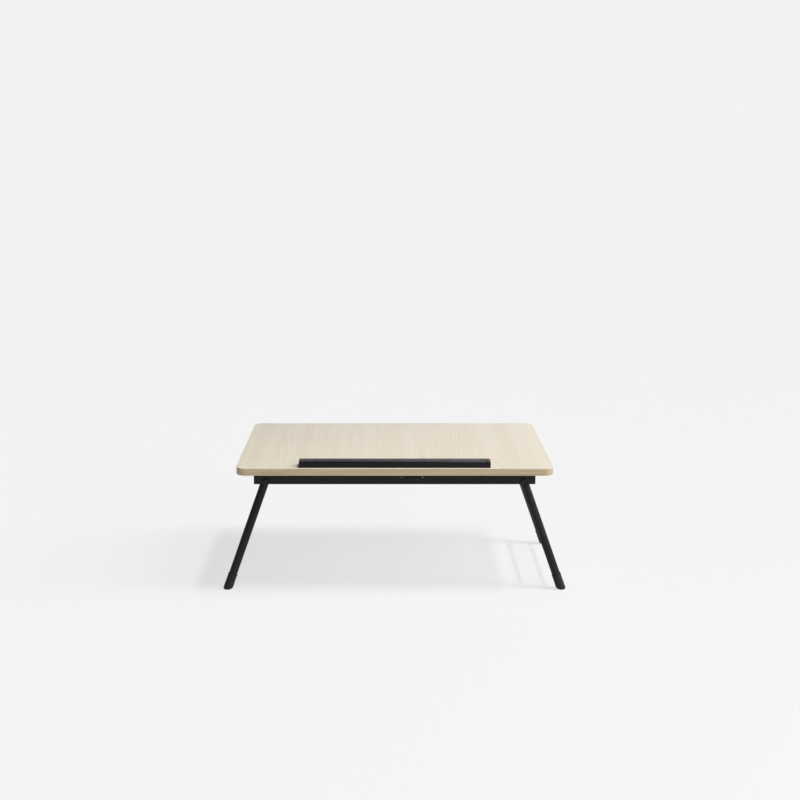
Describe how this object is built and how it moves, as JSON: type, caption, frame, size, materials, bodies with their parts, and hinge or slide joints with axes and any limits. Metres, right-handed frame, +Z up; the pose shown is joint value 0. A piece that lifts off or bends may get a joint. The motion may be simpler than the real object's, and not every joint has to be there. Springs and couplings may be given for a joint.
{
  "type": "folding tray table",
  "caption": "Low lap tray table: laminated tilting top with a front ledge, on splayed tubular leg frames that fold flat beneath it.",
  "frame": {"origin": "floor level, under the centre of the top", "axes": "+X to the right along the top's width, +Y from the ledge side to the back, +Z up"},
  "size_m": [0.6722, 0.4, 0.268],
  "materials": {
    "oak_laminate": "satin pale oak foil, grain front to back",
    "board_core": "fibreboard, pale foil beneath",
    "edge_band": "satin beige edge band",
    "black_paint": "satin black powder coat",
    "black_zinc": "black zinc plate",
    "black_plastic": "satin black moulding",
    "black_rubber": "matt black rubber",
    "zinc_steel": "bright zinc plate",
    "white_nylon": "natural nylon"
  },
  "bodies": {
    "frame": {"front_rail": "black_paint", "rear_rail": "black_paint", "left_cross_tube": "black_paint", "right_cross_tube": "black_paint", "front_left_pivot_bolt": "black_zinc", "front_left_spacer_washer": "black_plastic", "front_left_lock_nut": "zinc_steel", "front_right_pivot_bolt": "black_zinc", "front_right_spacer_washer": "black_plastic", "front_right_lock_nut": "zinc_steel", "rear_left_pivot_bolt": "black_zinc", "rear_left_spacer_washer": "black_plastic", "rear_left_lock_nut": "zinc_steel", "rear_right_pivot_bolt": "black_zinc", "rear_right_spacer_washer": "black_plastic", "rear_right_lock_nut": "zinc_steel", "front_leg_clip": "black_zinc", "rear_leg_clip": "black_zinc", "left_hinge_rail_leaf": "black_paint", "left_hinge_pin": "zinc_steel", "left_hinge_rivet_1": "black_paint", "left_hinge_rivet_2": "black_paint", "right_hinge_rail_leaf": "black_paint", "right_hinge_pin": "zinc_steel", "right_hinge_rivet_1": "black_paint", "right_hinge_rivet_2": "black_paint"},
    "top": {"top_board": "board_core", "top_laminate": "oak_laminate", "edge_band": "edge_band", "ledge_bar": "black_plastic", "ledge_left_cap": "black_plastic", "ledge_right_cap": "black_plastic", "ledge_screw_1": "zinc_steel", "ledge_screw_2": "zinc_steel", "left_hinge_top_leaf": "black_paint", "left_hinge_screw_1": "zinc_steel", "left_hinge_screw_2": "zinc_steel", "left_prop_rack": "white_nylon", "left_rack_screw_1": "zinc_steel", "left_rack_screw_2": "zinc_steel", "right_hinge_top_leaf": "black_paint", "right_hinge_screw_1": "zinc_steel", "right_hinge_screw_2": "zinc_steel", "right_prop_rack": "white_nylon", "right_rack_screw_1": "zinc_steel", "right_rack_screw_2": "zinc_steel"},
    "left_legs": {"front_left_leg": "black_paint", "front_left_foot": "black_rubber", "rear_left_leg": "black_paint", "rear_left_foot": "black_rubber", "left_lower_crossbar": "black_paint", "left_upper_crossbar": "black_paint"},
    "right_legs": {"front_right_leg": "black_paint", "front_right_foot": "black_rubber", "rear_right_leg": "black_paint", "rear_right_foot": "black_rubber", "right_lower_crossbar": "black_paint", "right_upper_crossbar": "black_paint"},
    "prop": {"prop_wire": "zinc_steel"}
  },
  "joints": [
    {"name": "left_leg_fold", "type": "hinge", "parent": "frame", "child": "left_legs", "pos_m": [-0.248, 0, 0.2205], "axis": [0, -1, 0], "range_deg": [0, 109.6]},
    {"name": "right_leg_fold", "type": "hinge", "parent": "frame", "child": "right_legs", "pos_m": [0.248, 0, 0.2205], "axis": [0, 1, 0], "range_deg": [0, 109.6]},
    {"name": "top_tilt", "type": "hinge", "parent": "frame", "child": "top", "pos_m": [0, -0.1606, 0.2394], "axis": [1, 0, 0], "range_deg": [0, 30]},
    {"name": "prop_swing", "type": "hinge", "parent": "frame", "child": "prop", "pos_m": [0, -0.0256, 0.235], "axis": [1, 0, 0], "range_deg": [0, 60]}
  ],
  "couplings": [
    {"joint": "prop_swing", "follows": "top_tilt", "ratio": 2}
  ]
}
